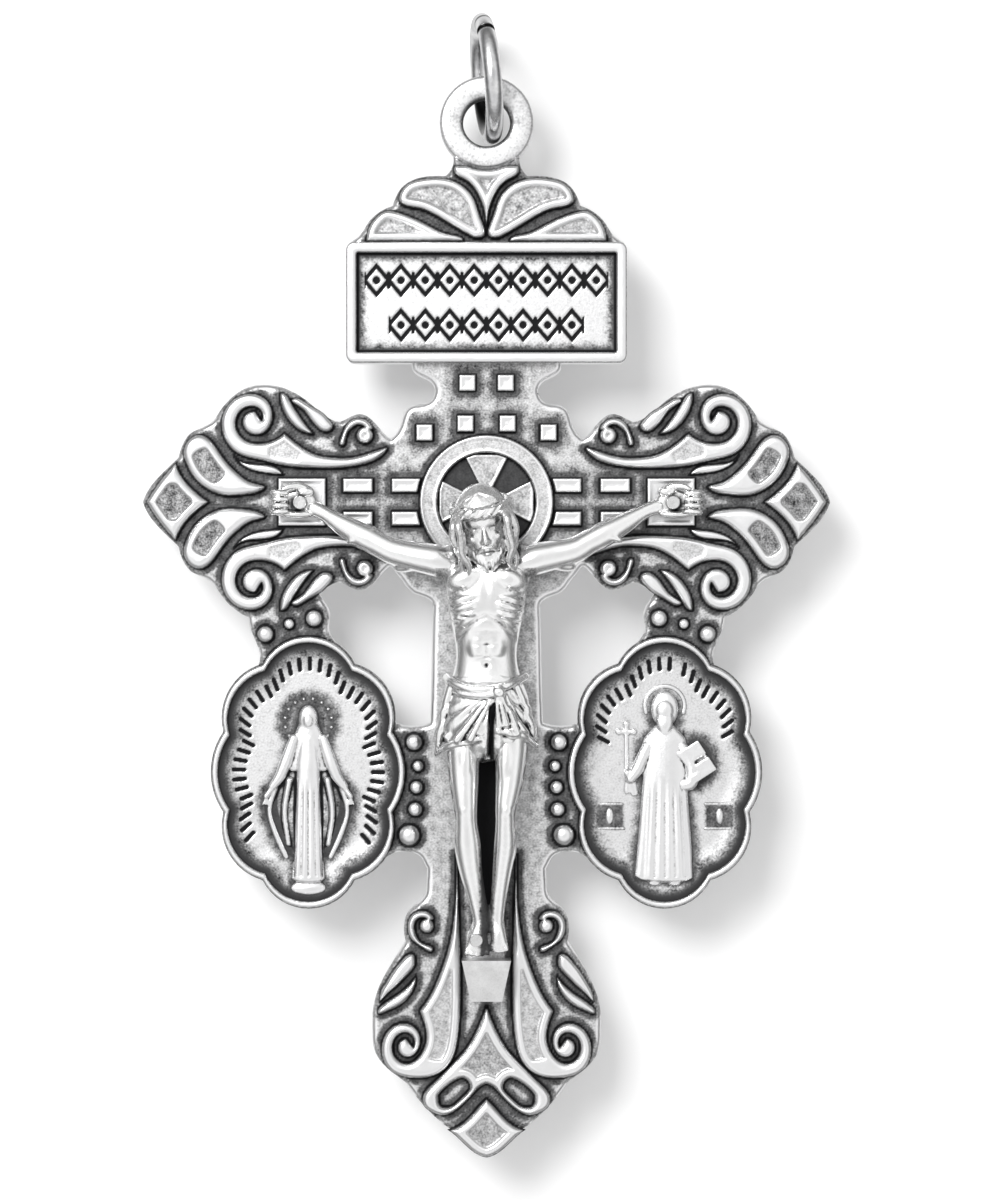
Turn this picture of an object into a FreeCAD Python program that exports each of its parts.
import FreeCAD, Part

import math
import os

from FreeCAD import Matrix, Vector

# A pendant crucifix in millimetres. It hangs by its jump ring, with Z up and its front facing -Y.
# Everything is drawn round the crossing of the arms, where x = z = 0 and y = 0 is the middle of the plate,
# and is moved at the end so that the origin is the point in the ring's eye where a cord holds it.

# Plate and relief
PLATE_THICKNESS = 1.6
RELIEF_HEIGHT = 0.55
PANEL_DEPTH = 0.22
# how far a cut runs past a face, and a length beyond anything on the object
PAST = 1.0
FAR = 20.0
FRONT = -PLATE_THICKNESS / 2
BACK = PLATE_THICKNESS / 2

# Overall reach of the arms and of the foot, from the crossing
ARM_REACH = 17.2
FOOT_DROP = 32.8
SHAFT_HALF_TOP = 2.68
SHAFT_HALF_FOOT = 3.0
SHAFT_FOOT_RISE = 13.6
WAIST_DROP = 5.1

# Title plaque
PLAQUE_WIDTH = 14.0
PLAQUE_HEIGHT = 6.0
PLAQUE_FOOT = 6.95
PLAQUE_RIM = 0.5
PLAQUE_RISE = 0.8
PLAQUE_SINK = 0.45
PLAQUE_CORNER = 0.4
PLAQUE_FIELD_CORNER = 0.1
PLAQUE_TOP = PLAQUE_FOOT + PLAQUE_HEIGHT
CREST_DRAWN_FOR = 14.0
CREST_ROOT = 0.3
CREST_INSET = 0.1

# Bail and jump ring
BAIL_OUTER = 2.35
BAIL_BORE = 1.18
BAIL_THICKNESS = 1.3
BAIL_ABOVE_PLAQUE = 6.05
BAIL_MARGIN = 0.06
BAIL_Z = PLAQUE_TOP + BAIL_ABOVE_PLAQUE
RING_WIRE = 0.9
RING_OUTER = 6.6
RING_CLEARANCE = 0.12
RING_LEAN = 5.5
RING_TURN = 4.0
RING_GAP = 0.12
RING_GAP_ANGLE = 14.0
RING_MEAN = (RING_OUTER - RING_WIRE) / 2
RING_DROP = BAIL_BORE - RING_WIRE / 2 - RING_CLEARANCE
EYE_Z = BAIL_Z + RING_MEAN - RING_DROP

# Nimbus behind the head
NIMBUS_OUTER = 3.35
NIMBUS_INNER = 2.45
NIMBUS_SPOKE_ANGLE = 52.0
NIMBUS_HUB = 0.7
NIMBUS_SINK = 0.15
NIMBUS_BELOW_RELIEF = 0.1
SPOKE_ROOT = 0.35
SPOKE_ROOT_SHARE = 0.75
SPOKE_LAP = 0.2

# Tiles of the crossing: half sizes, and centres in the right upper quarter
TILE_RISE = 0.3
TILE_GAP = 0.12
SQUARE_TILE = 0.42
LONG_TILE = (0.75, 0.36)
STEM_TILES = ((0.96, 5.95), (3.1, 3.47))
NIMBUS_TILE = (1.05, 3.92)
ROW_TILES = (5.3, 2.87)
ROW_HEIGHT = 0.83
HAND_TILE = 1.2
HAND_TILE_INSET = 7.98

# Medals and the beads that tie them to the cross
MEDAL_HALF_HEIGHT = 6.45
MEDAL_HALF_WIDTH = 4.5
MEDAL_RIM = 0.4
MEDAL_TOP_DROP = 6.65
MEDAL_GAP = 1.32
MEDAL_X = SHAFT_HALF_TOP + MEDAL_GAP + MEDAL_RIM + MEDAL_HALF_WIDTH
MEDAL_DROP = MEDAL_TOP_DROP + MEDAL_RIM + MEDAL_HALF_HEIGHT
MEDAL_FIELD = 0.08
FRAME_INSET = 0.06
FIGURE_HEIGHT = 0.5
FIGURE_DRAWN_FOR = 6.45
BEAD_SINK = 0.12
# beads as (x, z, radius): x from the medal's centre line for the link, from the shaft's edge for the column
LINK_BEADS = ((2.15, -6.6, 0.46), (0.96, -6.1, 0.3), (-0.28, -5.82, 0.46))
COLUMN_BEADS = ((0.94, -12.0, 0.46), (0.74, -13.2, 0.32), (0.82, -14.25, 0.37), (0.88, -15.35, 0.4),
                (1.18, -16.65, 0.58))
# the column is drawn for a foot whose ornament starts this far below the crossing, and keeps clear of it
FOOT_ORNAMENT_RISE = 12.4
COLUMN_DRAWN_FOR = 20.4
COLUMN_SHARE = (FOOT_DROP - FOOT_ORNAMENT_RISE) / COLUMN_DRAWN_FOR
# webs under those beads, with x from the same two lines
LINK_WEB = (
    ((-0.6, -3.0),),
    ((-0.7, -4.9), (-1.02, -5.5), (-1.0, -6.45), (-1.3, -7.0), (-2.15, -7.9)),
    ((0.0, -10.0),),
    ((2.6, -8.4),),
    ((2.55, -7.2), (2.85, -6.5), (3.0, -5.8)),
    ((2.7, -3.0),),
)
COLUMN_WEB = (
    ((-0.7, -11.0),),
    ((-0.7, -18.4),),
    ((0.32, -18.3), (0.62, -17.75), (1.17, -17.5), (1.82, -17.52), (2.52, -17.95)),
    ((3.32, -14.0),),
    ((1.82, -11.1),),
    ((0.92, -11.22), (0.02, -11.0)),
)
# Standing woman round the medal's centre: right half of the mantle, then the globe and the stars
MANTLE = (
    ((0.0, 3.4), (0.4, 3.2), (0.56, 2.7), (0.74, 1.95), (1.0, 1.1), (1.34, 0.0), (1.95, -0.75),
     (2.24, -1.35),
     (2.16, -2.05), (1.74, -3.2), (1.15, -4.1)),
    ((0.78, -4.3), (0.66, -5.3)),
    ((0.0, -5.35),),
)
GLOBE_RADIUS = 0.85
GLOBE_Z = -5.85
GLOBE_TOP = -5.36
GLOBE_FOOT = -6.2
STARS = 12
STAR_RADIUS = 0.1
STAR_HEIGHT = 0.15
STAR_RING = 1.18
STAR_RING_Z = 2.5
STAR_START = -35
STAR_SWEEP = 250
# Standing monk round the medal's centre
HABIT = (
    ((1.0, 1.6), (1.16, -0.4), (1.35, -3.5), (1.48, -5.45)),
    ((-1.52, -5.45),),
    ((-1.3, -3.5), (-1.05, -1.0), (-1.1, 1.4), (-0.6, 1.95)),
    ((0.6, 1.95),),
)
MONK_HEAD_RADIUS = 0.62
MONK_HEAD_LENGTH = 1.5
MONK_HEAD_Z = 2.85
BOOK = (((0.75, 0.4), (1.5, -0.75)), ((2.2, -0.3), (2.45, 0.3)), ((1.75, 1.6), (1.4, 1.7)), ((0.7, 0.95),))
SLEEVE = (((-1.0, -0.9), (-1.75, -0.75)), ((-2.05, 0.4),), ((-1.6, 0.55),), ((-1.0, 0.6),))
SLEEVE_HEIGHT = 0.4
STAFF_HEIGHT = 0.3
# staff and its cross-bar as (least x, greatest x, foot, top)
STAFF = (-2.03, -1.8, -0.8, 2.4)
STAFF_BAR = (-2.35, -1.48, 1.93, 2.2)

# Fields sunk into the back: half of the arm's from its tip, half of the foot's from its own, and the shaft's
ARM_PANEL = (
    ((12.6, 0.0), (12.6, 1.9)),
    ((9.2, 1.9), (6.0, 3.2)),
    ((4.0, 2.4),),
    ((1.9, 0.5), (1.6, 0.0)),
)
FOOT_PANEL = (
    ((0.0, 10.8), (1.6, 10.8)),
    ((3.0, 8.6), (4.1, 6.4)),
    ((2.6, 4.0), (0.0, 1.5)),
)
SHAFT_PANEL_HALF = 1.5
SHAFT_PANEL_RISE = 12.0
SHAFT_PANEL_TOP = -6.2
SHAFT_PANEL_CORNER = 0.5
PLAQUE_PANEL_BORDER = 1.0

# Corpus, its foot rest and its nails. Heights at the foot count from the foot's tip.
CORPUS_LIFT = 0.1
CORPUS_PLANE = FRONT - RELIEF_HEIGHT - CORPUS_LIFT
SEAT_HALF_WIDTH = 1.1
SEAT_BELOW_NIMBUS = 1.05
SEAT_DROP = 12.6
HAND_INSET = 7.9
HAND_X = ARM_REACH - HAND_INSET
HAND_Z = -0.05
FOOT_NAIL_X = -0.5
FOOT_NAIL_RISE = 11.05
FOOT_NAIL_FORWARD = 2.4
NAIL_RADIUS = 0.22
NAIL_HEAD = 0.34
NAIL_HEAD_RISE = 0.16
NAIL_CLEARANCE = 0.02
RIVET_SINK = 0.25
RIVET_SPREAD = 0.42
REST_HALF_TOP = 1.22
REST_HALF_FOOT = 0.78
REST_TOP_RISE = 10.02
REST_FOOT_RISE = 7.95
REST_LEDGE = 0.5
REST_DEPTH = 2.3
REST_FOOT_DEPTH = 1.725
SOLE_GAP = 0.08

# Edge of an arm above its axis, as (distance in from the tip, height), from the valley outwards.
# Each run ends at a corner.
ARM_EDGE = (
    ((11.96, 3.56), (11.55, 4.03), (10.95, 4.4), (10.3, 4.22), (9.87, 4.03), (9.3, 4.2), (8.2, 5.08),
     (6.75, 5.8),
     (5.35, 5.78), (4.3, 5.1), (3.65, 4.22)),
    ((3.0, 3.75), (2.4, 3.45), (2.0, 2.9), (1.79, 2.22)),
    ((0.77, 1.24), (0.12, 0.32), (0.0, 0.0)),
)
ARM_VALLEY = (12.4, 3.16)

# Right half of the upright from the plaque to the waist, and of the foot as (x, height above its tip)
STEM_EDGE = ((3.75, 6.95), (3.5, 6.4), (2.84, 6.05), (2.62, 5.75), (2.66, 5.25), (2.95, 4.97),
             (3.68, 4.83), (4.05, 4.55), (4.24, 4.0), (4.47, 3.48), (4.83, 3.16))
WAIST_EDGE = ((4.56, -3.5), (4.2, -3.95), (3.75, -4.5), (3.1, -4.76))
FOOT_EDGE = (
    ((3.35, 12.8), (3.92, 12.3), (4.13, 11.6), (4.05, 10.85)),
    ((4.75, 9.7), (5.35, 8.6), (5.68, 7.5), (5.72, 6.4), (5.6, 5.35), (5.2, 4.7), (4.7, 4.25),
     (4.05, 3.77)),
    ((3.4, 2.9), (2.1, 1.62)),
    ((1.3, 0.97), (0.6, 0.3), (0.0, 0.0)),
)
CREST_EDGE = (
    ((6.75, 0.1), (6.3, 0.45), (5.95, 1.0), (5.36, 1.57), (4.7, 1.87)),
    ((4.5, 2.4), (4.17, 2.87), (3.48, 3.25), (2.8, 3.37), (2.05, 3.36)),
    ((1.72, 3.8), (1.65, 4.3), (1.9, 4.75)),
)

# Relief of an arm end, as (distance in from the tip, height above the axis)
TIP_PETAL = (((0.85, 1.0), (1.68, 1.98)), ((1.95, 1.35), (2.45, 0.72), (3.35, 0.0)))
TIP_PETAL_INSET = 0.18
SIDE_PETAL = (((5.55, 0.4), (4.75, 0.3), (3.98, 0.33), (3.25, 0.62), (2.62, 1.15), (2.2, 1.87),
               (2.05, 2.55), (2.3, 3.1), (2.85, 3.36), (3.35, 3.15), (3.8, 2.6), (4.32, 1.9),
               (4.95, 1.3), (5.58, 0.95), (6.15, 0.74)),)
SLIVER = (((5.2, 1.7), (6.2, 1.42), (7.05, 1.35)), ((6.7, 1.72), (5.6, 1.9), (4.55, 2.35)))
OUTER_LEAF = (((6.9, 5.0), (7.2, 4.25), (7.6, 3.76), (8.1, 3.46), (8.57, 3.4)),
              ((8.05, 4.05), (7.7, 4.57), (7.4, 5.06), (7.2, 5.35), (6.9, 5.45)))
INNER_LEAF = (((8.1, 4.52), (8.45, 4.03), (8.8, 3.65), (9.1, 3.5), (9.45, 3.58), (9.55, 3.8),
               (9.4, 4.07), (9.05, 4.44), (8.55, 4.75), (8.05, 5.05), (7.68, 5.2), (7.47, 5.12)),)
# Volutes: centre, then the radii of the band's outer and inner edges at each quarter turn
ARM_VOLUTE = (5.67, 4.06)
ARM_VOLUTE_OUTER = (1.94, 1.71, 1.33, 0.84, 0.73, 0.66, 0.46)
ARM_VOLUTE_INNER = (1.12, 0.97, 0.66, 0.3)
ARM_TAIL_LOWER = ((6.12, 2.03), (7.02, 1.8), (8.36, 1.68), (9.52, 1.66), (10.86, 1.82), (11.66, 2.08),
                  (12.28, 2.67))
ARM_TAIL_UPPER = ((12.2, 2.74), (11.2, 2.42), (10.41, 2.23), (9.52, 2.23), (8.8, 2.34), (8.09, 2.67),
                  (7.55, 3.07), (7.1, 3.45))
CURL_PATH = ((9.96, 2.8, 0.03), (10.12, 3.4, 0.13), (10.38, 3.82, 0.18), (10.78, 4.02, 0.18),
             (11.17, 3.9, 0.18), (11.36, 3.58, 0.2))
CURL_EYE = (11.12, 3.32, 0.42)

# Relief of the foot, as (x, height above the foot's tip)
FOOT_VOLUTE = (4.0, 5.57)
FOOT_VOLUTE_OUTER = (1.52, 1.25, 1.2, 0.66, 0.52, 0.44, 0.44)
FOOT_VOLUTE_INNER = (0.8, 0.68, 0.7, 0.34)
FOOT_GROOVE = ((3.13, 6.75), (3.05, 5.8))
FOOT_TAIL_INNER = ((2.2, 4.35), (1.65, 5.05), (1.42, 5.9), (1.3, 7.1), (1.27, 8.2), (1.28, 9.8),
                   (1.36, 12.0), (1.43, 15.2))
FOOT_TAIL_OUTER = ((1.53, 15.2), (1.62, 12.2), (1.9, 10.6), (2.35, 9.2), (2.75, 8.3), (3.36, 7.38))
FOOT_CURL_PATH = ((2.66, 10.42, 0.03), (3.28, 10.7, 0.11), (3.68, 11.16, 0.18), (3.78, 11.63, 0.19),
                  (3.55, 12.1, 0.19), (3.08, 12.2, 0.18), (2.76, 11.9, 0.17))
FOOT_CURL_EYE = (2.98, 11.62, 0.36)
FOOT_LEAF = (((4.08, 10.09), (4.6, 9.5), (5.08, 8.75), (5.36, 8.08), (5.36, 7.82), (5.1, 8.04),
              (4.48, 8.61), (3.95, 9.15), (3.58, 9.62), (3.55, 9.95), (3.65, 10.22)),)
FOOT_SMALL_LEAF = (((3.95, 8.61), (4.55, 8.14), (5.15, 7.74), (5.45, 7.42)),
                   ((5.42, 7.25), (4.95, 7.35), (4.28, 7.68), (3.78, 8.18), (3.55, 8.68), (3.51, 9.15)))
PALMETTE_EDGE = ((0.44, 6.55), (1.0, 5.55), (1.83, 4.62), (2.66, 3.8), (3.2, 3.05), (3.14, 2.66),
                 (2.66, 2.28), (2.11, 2.15), (1.37, 2.52), (0.72, 3.15), (0.3, 3.58))
PALMETTE_TOP = 7.65
PALMETTE_NOTCH = 3.72
PALMETTE_FLOOR = 0.2
PALMETTE_WINDOW = (((2.4, 3.1), (1.5, 3.92), (1.1, 3.98), (0.84, 3.6), (1.2, 3.08), (1.9, 2.58),
                    (2.33, 2.7)),)
FOOT_PETAL = (((0.54, 2.43), (1.18, 1.78), (1.95, 1.44)), ((1.15, 0.76), (0.55, 0.26), (0.0, 0.05)))
FOOT_PETAL_TOP = 3.0

# Crest leaves, as (x, height above the plaque)
CREST_LEAF = (((0.71, 0.27), (1.4, 0.65), (2.29, 1.19), (3.38, 1.69), (4.1, 1.84), (4.36, 2.05),
               (4.3, 2.5), (3.95, 2.93), (3.18, 3.19), (2.35, 3.24), (1.7, 3.12), (1.11, 2.8),
               (0.61, 2.2), (0.3, 1.3), (0.14, 0.3)),)
CREST_LOW_LEAF = (((1.15, 0.1), (1.9, 0.45), (2.88, 0.88), (3.67, 1.26), (4.47, 1.54), (5.06, 1.58),
                   (5.5, 1.3), (5.86, 0.8), (6.0, 0.05)), ((1.15, 0.05),))
CREST_HEART = (((1.6, 3.85), (1.58, 3.42), (1.05, 3.1), (0.5, 2.5), (0.14, 1.6), (0.0, 0.55)),)

# Corpus: trunk, loincloth and head as (x, forward of the plate, z, half width, half depth)
TORSO = (
    (-0.05, 1.75, -2.15, 1.05, 0.75),
    (0.0, 1.65, -2.95, 2.35, 1.0),
    (0.02, 1.7, -3.9, 2.3, 1.35),
    (0.0, 1.7, -5.2, 2.0, 1.5),
    (0.0, 1.55, -6.6, 1.75, 1.35),
    (0.0, 1.4, -7.8, 1.6, 1.15),
    (-0.02, 1.4, -8.8, 1.85, 1.2),
    (0.0, 1.5, -9.8, 2.1, 1.35),
)
CLOTH = (
    (-0.05, 1.5, -8.75, 2.0, 1.35),
    (0.0, 1.55, -9.8, 2.35, 1.6),
    (0.05, 1.6, -11.0, 2.5, 1.65),
    (0.1, 1.6, -12.3, 2.7, 1.6),
)
HEAD = (
    (-0.1, 2.3, 0.92, 0.55, 0.5),
    (-0.36, 2.4, 0.7, 1.1, 1.0),
    (-0.36, 2.5, 0.0, 1.5, 1.35),
    (-0.3, 2.6, -0.9, 1.62, 1.45),
    (-0.15, 2.6, -1.9, 1.55, 1.4),
    (0.02, 2.55, -2.8, 1.25, 1.15),
    (0.1, 2.4, -3.4, 0.7, 0.8),
)
# Legs as (x, forward, share of the way from hip to sole, half width, half depth)
HIP_DROP = 11.0
LEFT_LEG = (
    (-1.15, 1.7, 0.0, 0.9, 0.95),
    (-1.16, 1.8, 0.11, 0.82, 0.95),
    (-1.1, 2.1, 0.26, 0.68, 0.85),
    (-0.98, 2.25, 0.38, 0.6, 0.75),
    (-0.93, 2.05, 0.51, 0.66, 0.72),
    (-0.78, 1.8, 0.67, 0.52, 0.55),
    (-0.6, 1.75, 0.79, 0.42, 0.45),
    (-0.5, 1.95, 0.89, 0.55, 0.5),
    (-0.46, 2.1, 0.965, 0.62, 0.4),
    (-0.44, 2.15, 1.0, 0.4, 0.25),
)
RIGHT_LEG = (
    (1.25, 1.7, 0.0, 0.9, 0.95),
    (1.28, 1.8, 0.11, 0.8, 0.95),
    (1.1, 2.1, 0.26, 0.66, 0.85),
    (0.95, 2.25, 0.38, 0.55, 0.75),
    (0.86, 2.05, 0.53, 0.58, 0.7),
    (0.74, 1.75, 0.68, 0.48, 0.55),
    (0.64, 1.65, 0.81, 0.4, 0.42),
    (0.6, 1.8, 0.89, 0.4, 0.4),
    (0.58, 1.9, 0.95, 0.42, 0.32),
)
# Arms as (share of the way from the middle to the nail, forward, z, radius)
LEFT_ARM = (
    (-0.17, 1.7, -3.35, 0.8),
    (-0.31, 1.65, -3.15, 0.75),
    (-0.47, 1.55, -2.8, 0.68),
    (-0.62, 1.5, -2.1, 0.7),
    (-0.77, 1.4, -1.35, 0.6),
    (-0.93, 1.15, -0.5, 0.42),
)
RIGHT_ARM = (
    (0.17, 1.7, -3.25, 0.8),
    (0.32, 1.65, -3.1, 0.72),
    (0.48, 1.55, -2.62, 0.68),
    (0.63, 1.5, -2.0, 0.7),
    (0.77, 1.4, -1.15, 0.58),
    (0.93, 1.15, -0.35, 0.42),
)
# The open right hand round its nail
PALM = (((-1.3, -0.7), (-0.4, -0.62), (0.5, -0.66), (1.12, -0.5), (1.24, 0.0), (1.12, 0.42), (0.7, 0.5),
         (0.3, 0.74),
         (-0.3, 0.62), (-1.2, 0.1)),)
PALM_DEPTH = 0.95
HAND_FRONT = FRONT - TILE_RISE - PALM_DEPTH


# Points, wires and solids


def spot(x, z, y=0.0):
    return Vector(x, y, z)


def edge_through(points):
    """A straight edge through two points, or a smooth one through more."""
    places = [spot(x, z) for x, z in points]
    if len(places) == 2:
        return Part.LineSegment(*places).toShape()
    curve = Part.BSplineCurve()
    curve.interpolate(places)
    return curve.toShape()


def wire_of_runs(runs):
    """A closed wire. Each run holds the points after one corner, up to and with the next."""
    edges = []
    start = runs[-1][-1]
    for run in runs:
        edges.append(edge_through([start, *run]))
        start = run[-1]
    return Part.Wire(edges)


def wire_of_loop(points):
    curve = Part.BSplineCurve()
    curve.interpolate([spot(x, z) for x, z in points], PeriodicFlag=True)
    return Part.Wire([curve.toShape()])


def outline(runs):
    """One run is a smooth loop, and more runs meet in corners."""
    return wire_of_loop(runs[0]) if len(runs) == 1 else wire_of_runs(runs)


def prism(wire, low, high):
    """The solid between two heights in y over a flat outline."""
    face = Part.Face(wire)
    solid = face.extrude(Vector(0, high - low, 0))
    solid.translate(Vector(0, low, 0))
    return solid


def raised_wire(wire, rise=RELIEF_HEIGHT):
    """A piece of relief that stands on the plate's front."""
    return prism(wire, FRONT - rise, FRONT)


def raised(runs, rise=RELIEF_HEIGHT):
    return raised_wire(outline(runs), rise)


def across(shape):
    """The mirror image on the other side of the upright."""
    return shape.mirror(Vector(0, 0, 0), Vector(1, 0, 0))


def below(shape):
    """The mirror image under the arms' axis."""
    return shape.mirror(Vector(0, 0, 0), Vector(0, 0, 1))


def turned(points, change):
    return tuple(tuple(change(*point) for point in run) for run in points)


def from_tip(runs):
    """Points given from the arm's tip, on the right arm."""
    return turned(runs, lambda inset, z: (ARM_REACH - inset, z))


def from_foot(runs):
    """Points given above the foot's tip."""
    return turned(runs, lambda x, rise: (x, rise - FOOT_DROP))


def from_plaque(runs):
    """Points given above the plaque, spread to its width."""
    return turned(runs, lambda x, rise: (x * PLAQUE_WIDTH / CREST_DRAWN_FOR, rise + PLAQUE_TOP))


def both_halves(runs, axis="x"):
    """Closes half an outline, which begins and ends on the axis, with its mirror image."""
    flip = (lambda x, z: (-x, z)) if axis == "x" else (lambda x, z: (x, -z))
    start = runs[0][0]
    first = tuple([tuple(runs[0][1:])] + [tuple(run) for run in runs[1:]])
    ends = [start] + [run[-1] for run in first]
    back = []
    for number in range(len(first) - 1, -1, -1):
        inner = [flip(*point) for point in reversed(first[number][:-1])]
        back.append(tuple(inner + [flip(*ends[number])]))
    return first + tuple(back)


def fused(shapes):
    solid = shapes[0].multiFuse(shapes[1:]).removeSplitter()
    return solid.Solids[0] if len(solid.Solids) == 1 else solid


def cylinder(x, z, radius, low, high):
    """A round solid along y."""
    return Part.makeCylinder(radius, high - low, Vector(x, low, z), Vector(0, 1, 0))


def block(x0, x1, z0, z1, low, high):
    return Part.makeBox(x1 - x0, high - low, z1 - z0, Vector(x0, low, z0))


def curl(path, eye):
    """A small curl: a band tapered along a path of (x, z, half width), with a round eye on its end."""
    centre = Part.BSplineCurve()
    centre.interpolate([spot(x, z) for x, z, _ in path])
    sides = ([], [])
    for x, z, half in path:
        along = centre.tangent(centre.parameter(spot(x, z)))[0]
        for side, sign in zip(sides, (1, -1)):
            side.append((x - sign * along.z * half, z + sign * along.x * half))
    left, right = sides
    tip = path[0][:2]
    wire = wire_of_runs((tuple(left), (right[-1],), (*reversed(right[:-1]), tip)))
    x, z, radius = eye
    return fused([raised_wire(wire), cylinder(x, z, radius, FRONT - RELIEF_HEIGHT, FRONT)])


def radius_at(radii, quarters):
    """A radius between the values given at whole quarter turns, eased from one to the next."""
    low = min(int(quarters), len(radii) - 2)
    share = quarters - low
    before = radii[max(low - 1, 0)]
    a, b = radii[low], radii[low + 1]
    after = radii[min(low + 2, len(radii) - 1)]
    slope_a, slope_b = (b - before) / 2, (after - a) / 2
    cubic = share**3
    square = share**2
    return (a * (2 * cubic - 3 * square + 1) + slope_a * (cubic - 2 * square + share)
            + b * (3 * square - 2 * cubic) + slope_b * (cubic - square))


def spiral(centre, radii, steps=3):
    """Points of a spiral that sets out from below its centre towards +x."""
    points = []
    for number in range((len(radii) - 1) * steps + 1):
        angle = math.radians(-90 + 90 * number / steps)
        radius = radius_at(radii, number / steps)
        points.append((centre[0] + radius * math.cos(angle), centre[1] + radius * math.sin(angle)))
    return points


def volute(centre, outer, inner, lower, upper, groove=()):
    """A band from a pointed tail that rolls up into an eye.

    The lower edge runs from the tail into the outer spiral, the upper edge from the tail to the cusp, and
    the groove from the cusp into the inner spiral.
    """
    rim = (*lower[1:], *spiral(centre, outer))
    eye, *back = reversed(spiral(centre, inner))
    back += [*reversed(groove), upper[-1]]
    return raised_wire(wire_of_runs((rim, (eye,), back, tuple(reversed(upper[:-1])), (lower[0],))))


# The plate


def arm_blank():
    valley = (ARM_REACH - ARM_VALLEY[0], ARM_VALLEY[1])
    half = (((0.0, 0.0), (0.0, valley[1])), (valley,), *from_tip(ARM_EDGE))
    return prism(wire_of_runs(both_halves(half, axis="z")), FRONT, BACK)


def upright_blank():
    """Stem, shaft and foot in one, from the plaque's foot to the tip."""
    foot = from_foot(FOOT_EDGE)
    shaft_foot = (SHAFT_HALF_FOOT, SHAFT_FOOT_RISE - FOOT_DROP)
    half = (
        ((0.0, STEM_EDGE[0][1]), STEM_EDGE[0]),
        STEM_EDGE[1:],
        WAIST_EDGE + ((SHAFT_HALF_TOP, -WAIST_DROP),),
        (shaft_foot,),
        *foot,
    )
    return prism(wire_of_runs(both_halves(half)), FRONT, BACK)


def crest_blank():
    runs = from_plaque(CREST_EDGE)
    top = runs[-1][-1]
    side = PLAQUE_WIDTH / 2 - CREST_INSET
    root = PLAQUE_TOP - CREST_ROOT
    half = (((0.0, root), (side, root)), ((side, PLAQUE_TOP),), *runs, ((0.0, top[1]),))
    return prism(wire_of_runs(both_halves(half)), FRONT, BACK)


def rounded_box(half_width, low, high, corner):
    """A rectangle with round corners, as a wire."""
    w = half_width
    reach = corner * (1 - math.sqrt(0.5))
    edges = [
        Part.LineSegment(spot(-w + corner, low), spot(w - corner, low)),
        Part.Arc(spot(w - corner, low), spot(w - reach, low + reach), spot(w, low + corner)),
        Part.LineSegment(spot(w, low + corner), spot(w, high - corner)),
        Part.Arc(spot(w, high - corner), spot(w - reach, high - reach), spot(w - corner, high)),
        Part.LineSegment(spot(w - corner, high), spot(-w + corner, high)),
        Part.Arc(spot(-w + corner, high), spot(-w + reach, high - reach), spot(-w, high - corner)),
        Part.LineSegment(spot(-w, high - corner), spot(-w, low + corner)),
        Part.Arc(spot(-w, low + corner), spot(-w + reach, low + reach), spot(-w + corner, low)),
    ]
    return Part.Wire([edge.toShape() for edge in edges])


def octofoil(grow):
    """The medal's outline round its own centre: eight lobes, each an arc, pushed out by grow."""
    w, h = MEDAL_HALF_WIDTH, MEDAL_HALF_HEIGHT
    # top, upper cusp, shoulder lobe, side cusp and side, as shares of the half width and half height
    quarter = ((0.0, 1.0), (0.478, 0.783), (0.8, 0.62), (0.867, 0.287), (1.0, 0.0))

    def out(x, z):
        length = math.hypot(x, z)
        return spot(x * (1 + grow / length), z * (1 + grow / length))

    top, cusp, shoulder, side_cusp, side = [(x * w, z * h) for x, z in quarter]
    arcs = []
    lobes = [
        (cusp, top, (-cusp[0], cusp[1])),
        ((-cusp[0], cusp[1]), (-shoulder[0], shoulder[1]), (-side_cusp[0], side_cusp[1])),
        ((-side_cusp[0], side_cusp[1]), (-side[0], 0.0), (-side_cusp[0], -side_cusp[1])),
        ((-side_cusp[0], -side_cusp[1]), (-shoulder[0], -shoulder[1]), (-cusp[0], -cusp[1])),
        ((-cusp[0], -cusp[1]), (0.0, -top[1]), (cusp[0], -cusp[1])),
        ((cusp[0], -cusp[1]), (shoulder[0], -shoulder[1]), (side_cusp[0], -side_cusp[1])),
        ((side_cusp[0], -side_cusp[1]), side, side_cusp),
        (side_cusp, shoulder, cusp),
    ]
    for first, middle, last in lobes:
        arcs.append(Part.Arc(out(*first), out(*middle), out(*last)).toShape())
    return Part.Wire(arcs)


def medal_solid(grow, low, high):
    solid = prism(octofoil(grow), low, high)
    solid.translate(spot(MEDAL_X, -MEDAL_DROP))
    return solid


def link_blanks():
    """The webs under the beads: one from the arm to the medal, one from the medal to the shaft."""
    upper = turned(LINK_WEB, lambda x, z: (MEDAL_X + x, z))
    side = turned(COLUMN_WEB, lambda x, z: (SHAFT_HALF_TOP + x, z * COLUMN_SHARE))
    return [prism(wire_of_runs(upper), FRONT, BACK), prism(wire_of_runs(side), FRONT, BACK)]


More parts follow.
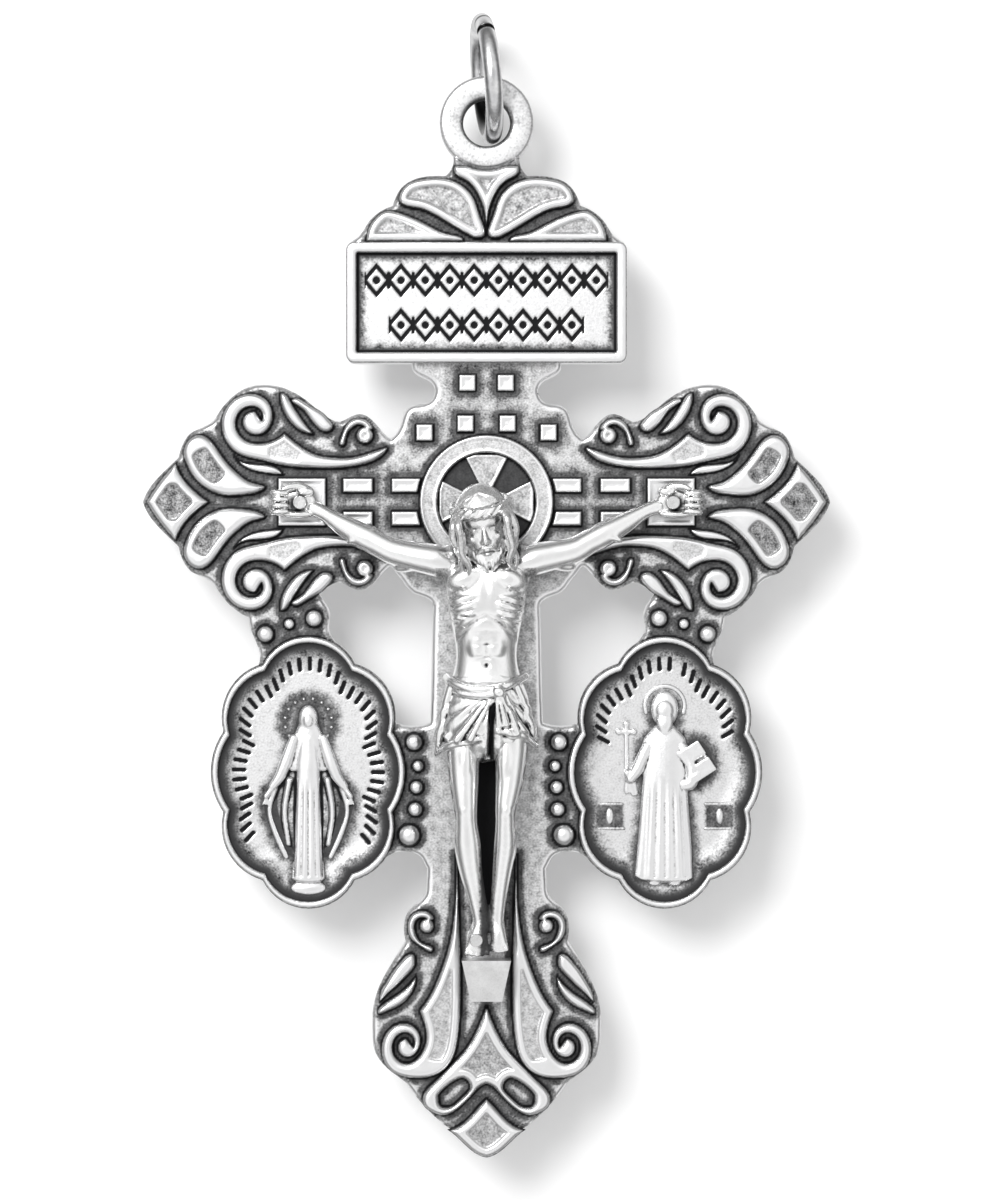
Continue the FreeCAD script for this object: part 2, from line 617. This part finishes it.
def back_panels():
    """Shallow fields sunk into the back, inside a flat border."""
    low, high = BACK - PANEL_DEPTH, BACK + PAST
    arm = wire_of_runs(both_halves(from_tip(ARM_PANEL), axis="z"))
    shaft = rounded_box(SHAFT_PANEL_HALF, SHAFT_PANEL_RISE - FOOT_DROP, SHAFT_PANEL_TOP, SHAFT_PANEL_CORNER)
    foot = wire_of_runs(both_halves(from_foot(FOOT_PANEL)))
    edge = PLAQUE_PANEL_BORDER
    plaque = rounded_box(PLAQUE_WIDTH / 2 - edge, PLAQUE_FOOT + edge, PLAQUE_TOP - edge, PLAQUE_CORNER)
    arm_panel = prism(arm, low, high)
    panels = [arm_panel, across(arm_panel)]
    panels += [prism(wire, low, high) for wire in (shaft, foot, plaque)]
    medal_panel = medal_solid(-MEDAL_RIM, low, high)
    panels += [medal_panel, across(medal_panel)]
    ring = cylinder(0, 0, NIMBUS_OUTER, low, high).cut(cylinder(0, 0, NIMBUS_INNER, low, high))
    return panels + [ring]


def nail_places():
    return ((-HAND_X, HAND_Z), (HAND_X, HAND_Z), (FOOT_NAIL_X, FOOT_NAIL_RISE - FOOT_DROP))


def nail_heads():
    """How far forward each nail's head lies."""
    return (HAND_FRONT, HAND_FRONT, FRONT - FOOT_NAIL_FORWARD)


def nail_holes():
    """Clearance for each shank through everything, with the countersink at the back."""
    holes = []
    for x, z in nail_places():
        holes.append(cylinder(x, z, NAIL_RADIUS + NAIL_CLEARANCE, -FAR, BACK + PAST))
        sink = Part.makeCone(NAIL_RADIUS + NAIL_CLEARANCE, RIVET_SPREAD + NAIL_CLEARANCE, RIVET_SINK,
                             Vector(x, BACK - RIVET_SINK, z), Vector(0, 1, 0))
        holes.append(sink)
    return holes


def cross_plate():
    arm = arm_blank()
    links = link_blanks()
    medal = medal_solid(MEDAL_RIM, FRONT, BACK)
    plaque = prism(rounded_box(PLAQUE_WIDTH / 2, PLAQUE_FOOT, PLAQUE_TOP, PLAQUE_CORNER), FRONT, BACK)
    half_bail = BAIL_THICKNESS / 2
    bail = cylinder(0, BAIL_Z, BAIL_OUTER, -half_bail, half_bail)
    right = [arm, medal, *links]
    plate = fused([upright_blank(), plaque, crest_blank(), *right, *[across(piece) for piece in right]])
    # the crest's neck stops at the bail, which is thinner than the plate
    plate = plate.cut(cylinder(0, BAIL_Z, BAIL_OUTER, FRONT, BACK))
    plate = fused([plate, bail]).cut(cylinder(0, BAIL_Z, BAIL_BORE, -half_bail, half_bail))
    return plate.cut(Part.makeCompound(back_panels() + nail_holes()))


# Relief


def crest_leaves():
    leaf = raised(from_plaque(CREST_LEAF))
    low_leaf = raised(from_plaque(CREST_LOW_LEAF))
    heart_runs = from_plaque(CREST_HEART)
    heart = raised(both_halves((((0.0, heart_runs[0][0][1]), heart_runs[0][0]), heart_runs[0][1:])))
    heart = heart.cut(cylinder(0, BAIL_Z, BAIL_OUTER + BAIL_MARGIN, -FAR, FRONT))
    return [leaf, across(leaf), low_leaf, across(low_leaf), heart]


def title_plaque():
    low = FRONT - PLAQUE_RISE
    tablet = prism(rounded_box(PLAQUE_WIDTH / 2, PLAQUE_FOOT, PLAQUE_TOP, PLAQUE_CORNER), low, FRONT)
    border = rounded_box(PLAQUE_WIDTH / 2 - PLAQUE_RIM, PLAQUE_FOOT + PLAQUE_RIM, PLAQUE_TOP - PLAQUE_RIM,
                         PLAQUE_FIELD_CORNER)
    return [tablet.cut(prism(border, low, low + PLAQUE_SINK))]


def tile(x, z, half_x, half_z):
    return block(x - half_x, x + half_x, z - half_z, z + half_z, FRONT - TILE_RISE, FRONT)


def crossing_tiles():
    """The small raised tiles round the nimbus and along the arms. Those by the nimbus stop short of it."""
    right = [tile(x, z, SQUARE_TILE, SQUARE_TILE) for x, z in STEM_TILES]
    x, z = NIMBUS_TILE
    cut_tiles = [tile(x, z, SQUARE_TILE, SQUARE_TILE)]
    for sign in (1, -1):
        cut_tiles.append(tile(HAND_X - ROW_TILES[0], sign * ROW_HEIGHT, *LONG_TILE))
        right.append(tile(HAND_X - ROW_TILES[1], sign * ROW_HEIGHT, *LONG_TILE))
    room = cylinder(0, 0, NIMBUS_OUTER + TILE_GAP, FRONT - RELIEF_HEIGHT, FRONT)
    right += [piece.cut(room) for piece in cut_tiles]
    hand = tile(ARM_REACH - HAND_TILE_INSET, 0.0, HAND_TILE, HAND_TILE)
    right.append(hand.cut(Part.makeCompound(nail_holes())))
    return right + [across(piece) for piece in right]


def nimbus():
    low = FRONT - RELIEF_HEIGHT + NIMBUS_BELOW_RELIEF
    rim = cylinder(0, 0, NIMBUS_OUTER, low, FRONT).cut(cylinder(0, 0, NIMBUS_INNER, low, FRONT))
    half = math.radians(NIMBUS_SPOKE_ANGLE / 2)
    pieces = [rim, cylinder(0, 0, NIMBUS_HUB, low + NIMBUS_SINK, FRONT)]
    for quarter in range(4):
        middle = math.radians(90 * quarter)
        far = NIMBUS_INNER + SPOKE_LAP
        root_half = half * SPOKE_ROOT_SHARE
        corners = []
        for turn, reach in ((half, far), (-half, far), (-root_half, SPOKE_ROOT), (root_half, SPOKE_ROOT)):
            corners.append(spot(reach * math.cos(middle + turn), reach * math.sin(middle + turn)))
        spoke = prism(Part.makePolygon([*corners, corners[0]]), low + NIMBUS_SINK, FRONT)
        pieces.append(spoke)
    return [fused(pieces)]


def arm_petals():
    tip = from_tip(TIP_PETAL)
    tip_runs = both_halves((((ARM_REACH - TIP_PETAL_INSET, 0.0), *tip[0]), tip[1]), axis="z")
    petal = raised(from_tip(SIDE_PETAL))
    sliver = raised(from_tip(SLIVER), rise=RELIEF_HEIGHT / 2)
    return [raised(tip_runs), petal, below(petal), sliver, below(sliver)]


def arm_scrolls():
    """The long volute and the small curl above the arm's axis, and the same below."""
    lower, upper = from_tip((reversed(ARM_TAIL_LOWER), ARM_TAIL_UPPER))
    centre = (ARM_REACH - ARM_VOLUTE[0], ARM_VOLUTE[1])
    long_scroll = volute(centre, ARM_VOLUTE_OUTER, ARM_VOLUTE_INNER, lower, upper)
    path = [(ARM_REACH - inset, z, half) for inset, z, half in CURL_PATH]
    small = curl(path, (ARM_REACH - CURL_EYE[0], *CURL_EYE[1:]))
    return [long_scroll, below(long_scroll), small, below(small)]


def arm_leaves():
    outer = raised(from_tip(OUTER_LEAF))
    inner = raised(from_tip(INNER_LEAF))
    return [outer, inner, below(outer), below(inner)]


def foot_scrolls():
    lower, upper, groove = from_foot((reversed(FOOT_TAIL_INNER), FOOT_TAIL_OUTER, FOOT_GROOVE))
    centre = (FOOT_VOLUTE[0], FOOT_VOLUTE[1] - FOOT_DROP)
    long_scroll = volute(centre, FOOT_VOLUTE_OUTER, FOOT_VOLUTE_INNER, lower, upper, groove)
    path = [(x, rise - FOOT_DROP, half) for x, rise, half in FOOT_CURL_PATH]
    small = curl(path, (FOOT_CURL_EYE[0], FOOT_CURL_EYE[1] - FOOT_DROP, FOOT_CURL_EYE[2]))
    return [long_scroll, across(long_scroll), small, across(small)]


def foot_leaves():
    leaf = raised(from_foot(FOOT_LEAF))
    small = raised(from_foot(FOOT_SMALL_LEAF))
    return [leaf, across(leaf), small, across(small)]


def foot_palmette():
    edge = tuple((x, rise - FOOT_DROP) for x, rise in PALMETTE_EDGE)
    half = (((0.0, PALMETTE_TOP - FOOT_DROP), *edge, (0.0, PALMETTE_NOTCH - FOOT_DROP)),)
    leaf = raised(both_halves(half))
    window = prism(outline(from_foot(PALMETTE_WINDOW)), FRONT - RELIEF_HEIGHT, FRONT - PALMETTE_FLOOR)
    leaf = leaf.cut(Part.makeCompound([window, across(window)]))
    petal = from_foot(FOOT_PETAL)
    petal_runs = both_halves((((0.0, FOOT_PETAL_TOP - FOOT_DROP), *petal[0]), petal[1]))
    return [leaf, raised(petal_runs)]


# Medals


def bead(x, z, radius):
    """A pearl sunk a little into its web, cut off where it meets the plate."""
    ball = Part.makeSphere(radius, Vector(x, FRONT - BEAD_SINK, z))
    return ball.common(block(-FAR, FAR, -2 * FAR, FAR, -FAR, FRONT))


def medal_beads():
    link = [bead(MEDAL_X + x, z, radius) for x, z, radius in LINK_BEADS]
    return link + [bead(SHAFT_HALF_TOP + x, z * COLUMN_SHARE, radius) for x, z, radius in COLUMN_BEADS]


def medal_frame():
    """Rim and sunk field of one medal, round its own centre."""
    rim = prism(octofoil(MEDAL_RIM - FRAME_INSET), FRONT - RELIEF_HEIGHT, FRONT)
    return rim.cut(prism(octofoil(0.0), FRONT - RELIEF_HEIGHT, FRONT - MEDAL_FIELD))


def figure_prism(runs, rise=FIGURE_HEIGHT):
    return prism(outline(runs), FRONT - MEDAL_FIELD - rise, FRONT - MEDAL_FIELD)


def veiled_figure():
    """A standing woman in a mantle with both hands held low, on a small globe, under a ring of stars."""
    field = FRONT - MEDAL_FIELD
    robe = figure_prism(both_halves(MANTLE))
    globe = cylinder(0.0, GLOBE_Z, GLOBE_RADIUS, field - FIGURE_HEIGHT, field)
    globe = globe.common(block(-FAR, FAR, GLOBE_FOOT, GLOBE_TOP, -FAR, FAR))
    stars = []
    for number in range(STARS):
        angle = math.radians(STAR_START + STAR_SWEEP * number / (STARS - 1))
        x, z = STAR_RING * math.cos(angle), STAR_RING_Z + STAR_RING * math.sin(angle)
        stars.append(cylinder(x, z, STAR_RADIUS, field - STAR_HEIGHT, field))
    return [robe, globe, *stars]


def monk_figure():
    """A standing monk in a long habit, with a staff cross in one hand and a book in the other."""
    field = FRONT - MEDAL_FIELD
    head = cylinder(0.0, 0.0, MONK_HEAD_RADIUS, field - FIGURE_HEIGHT, field)
    stretch = Matrix()
    stretch.scale(1, 1, MONK_HEAD_LENGTH)
    head = head.transformGeometry(stretch)
    head.translate(spot(0, MONK_HEAD_Z))
    staff = fused([block(*bar, field - STAFF_HEIGHT, field) for bar in (STAFF, STAFF_BAR)])
    sleeve = figure_prism(SLEEVE, SLEEVE_HEIGHT)
    return [fused([figure_prism(HABIT), head, figure_prism(BOOK), sleeve, staff])]


# Corpus


def section(x, forward, z, half_width, half_depth):
    """A level ellipse in front of the plate."""
    middle = Vector(x, FRONT - forward, z)
    if half_width >= half_depth:
        return Part.Wire([Part.Ellipse(middle, half_width, half_depth).toShape()])
    ring = Part.Ellipse(middle, half_depth, half_width).toShape()
    ring.rotate(middle, Vector(0, 0, 1), 90)
    return Part.Wire([ring])


def level_loft(sections):
    return Part.makeLoft([section(*one) for one in sections], True, False)


def leg_loft(stations):
    sole = REST_TOP_RISE + SOLE_GAP - FOOT_DROP
    placed = []
    for x, forward, share, wide, deep in stations:
        placed.append((x, forward, -HIP_DROP + share * (sole + HIP_DROP), wide, deep))
    return level_loft(placed)


def arm_loft(stations):
    """A round limb through its stations, square to its own run."""
    places = [Vector(share * HAND_X, FRONT - forward, z) for share, forward, z, _ in stations]
    rings = []
    for number, place in enumerate(places):
        along = places[min(number + 1, len(places) - 1)] - places[max(number - 1, 0)]
        rings.append(Part.Wire([Part.Circle(place, along, stations[number][3]).toShape()]))
    return Part.makeLoft(rings, True, False)


def palm(side):
    """A hand laid open on its tile."""
    places = turned(PALM, lambda x, z: (side * (HAND_X + x), HAND_Z + z))
    return prism(outline(places), HAND_FRONT, FRONT - TILE_RISE)


def corpus():
    limbs = [leg_loft(LEFT_LEG), leg_loft(RIGHT_LEG), arm_loft(LEFT_ARM), arm_loft(RIGHT_ARM)]
    figure = level_loft(TORSO)
    for piece in (level_loft(CLOTH), level_loft(HEAD), *limbs, palm(-1), palm(1)):
        figure = figure.fuse(piece)
    return [figure.cut(Part.makeCompound(corpus_clearance()))]


def corpus_clearance():
    """What is cut off behind the figure, which touches the cross at seat and palms, and its nail holes."""
    seat_top = -NIMBUS_OUTER - SEAT_BELOW_NIMBUS
    palm_edge = ARM_REACH - HAND_TILE_INSET - HAND_TILE
    cuts = [
        block(-FAR, FAR, -2 * FAR, FAR, FRONT, FAR),
        block(-palm_edge, palm_edge, seat_top, FAR, CORPUS_PLANE, FAR),
        block(-FAR, FAR, -2 * FAR, -SEAT_DROP, CORPUS_PLANE, FAR),
    ]
    for side in (-1, 1):
        near, far = sorted((side * SEAT_HALF_WIDTH, side * FAR))
        cuts.append(block(near, far, -2 * FAR, seat_top, CORPUS_PLANE, FAR))
        near, far = sorted((side * palm_edge, side * FAR))
        cuts.append(block(near, far, -FAR, FAR, FRONT - TILE_RISE, FAR))
    for (x, z), head in zip(nail_places(), nail_heads()):
        cuts.append(cylinder(x, z, NAIL_RADIUS + NAIL_CLEARANCE, -FAR, BACK))
        cuts.append(cylinder(x, z, NAIL_HEAD + NAIL_CLEARANCE, -FAR, head))
    return cuts


def foot_rest():
    """The little block under the feet, whose front slopes back towards its foot."""
    top, foot = REST_TOP_RISE - FOOT_DROP, REST_FOOT_RISE - FOOT_DROP
    face = FRONT - REST_DEPTH
    profile = Part.makePolygon([
        Vector(0, FRONT, top), Vector(0, face, top), Vector(0, face, top - REST_LEDGE),
        Vector(0, FRONT - REST_FOOT_DEPTH, foot), Vector(0, FRONT, foot), Vector(0, FRONT, top),
    ])
    solid = Part.Face(profile).extrude(Vector(2 * REST_HALF_TOP, 0, 0))
    solid.translate(Vector(-REST_HALF_TOP, 0, 0))
    corners = [spot(-REST_HALF_TOP, top), spot(REST_HALF_TOP, top), spot(REST_HALF_FOOT, foot),
               spot(-REST_HALF_FOOT, foot)]
    taper = prism(Part.makePolygon([*corners, corners[0]]), face, FRONT)
    return [solid.common(taper)]


def nail(place, head_y):
    """A shank through figure and plate, with a domed head in front and its end spread at the back."""
    x, z = place
    shank = cylinder(x, z, NAIL_RADIUS, head_y, BACK - RIVET_SINK)
    dome = Part.makeSphere(NAIL_HEAD, Vector(x, head_y, z))
    dome = dome.common(block(-FAR, FAR, -2 * FAR, FAR, head_y - NAIL_HEAD_RISE, head_y))
    spread = Part.makeCone(NAIL_RADIUS, RIVET_SPREAD, RIVET_SINK - NAIL_CLEARANCE,
                           Vector(x, BACK - RIVET_SINK, z), Vector(0, 1, 0))
    return [fused([shank, dome, spread])]


# Jump ring


def jump_ring():
    """A round wire ring through the bail, cut once near its top."""
    sweep = 360 - math.degrees(RING_GAP / RING_MEAN)
    ring = Part.makeTorus(RING_MEAN, RING_WIRE / 2, Vector(0, 0, 0), Vector(1, 0, 0), 0, 360, sweep)
    ring.rotate(Vector(0, 0, 0), Vector(1, 0, 0), RING_GAP_ANGLE)
    ring.translate(spot(0, RING_MEAN - RING_DROP))
    ring.rotate(Vector(0, 0, 0), Vector(0, 0, 1), RING_TURN)
    ring.rotate(Vector(0, 0, 0), Vector(0, 1, 0), -RING_LEAN)
    ring.translate(spot(0, BAIL_Z))
    return [ring]


def on_medal(solids, side, share=1.0):
    """Solids drawn round a medal's centre, put on the left or right medal and sized to it."""
    stretch = Matrix()
    stretch.scale(share, 1, share)
    placed = []
    for solid in solids:
        copy = solid.copy() if share == 1.0 else solid.transformGeometry(stretch)
        copy.translate(spot(side * MEDAL_X, -MEDAL_DROP))
        placed.append(copy)
    return placed


def nodes():
    left_hand, right_hand, feet = zip(nail_places(), nail_heads())
    figure_share = MEDAL_HALF_HEIGHT / FIGURE_DRAWN_FOR
    made = {
        "jump_ring": jump_ring(),
        "cross_plate": [cross_plate()],
        "crest_leaves": crest_leaves(),
        "title_plaque": title_plaque(),
        "crossing_tiles": crossing_tiles(),
        "nimbus": nimbus(),
        "right_arm_petals": arm_petals(),
        "right_arm_scrolls": arm_scrolls(),
        "right_arm_leaves": arm_leaves(),
        "foot_scrolls": foot_scrolls(),
        "foot_leaves": foot_leaves(),
        "foot_palmette": foot_palmette(),
        "right_medal_beads": medal_beads(),
        "left_medal_frame": on_medal([medal_frame()], -1),
        "right_medal_frame": on_medal([medal_frame()], 1),
        "left_medal_figure": on_medal(veiled_figure(), -1, figure_share),
        "right_medal_figure": on_medal(monk_figure(), 1, figure_share),
        "corpus": corpus(),
        "foot_rest": foot_rest(),
        "left_hand_nail": nail(*left_hand),
        "right_hand_nail": nail(*right_hand),
        "foot_nail": nail(*feet),
    }
    for name in ("arm_petals", "arm_scrolls", "arm_leaves", "medal_beads"):
        made["left_" + name] = [across(solid) for solid in made["right_" + name]]
    return made


def write_parts():
    os.makedirs("parts", exist_ok=True)
    for name, solids in nodes().items():
        shape = Part.makeCompound(solids) if len(solids) > 1 else solids[0]
        shape.translate(spot(0, -EYE_Z))
        shape.exportStep(f"parts/{name}.step")
        print(name, len(shape.Solids), "solids, volume", round(shape.Volume, 3), "valid", shape.isValid())


write_parts()
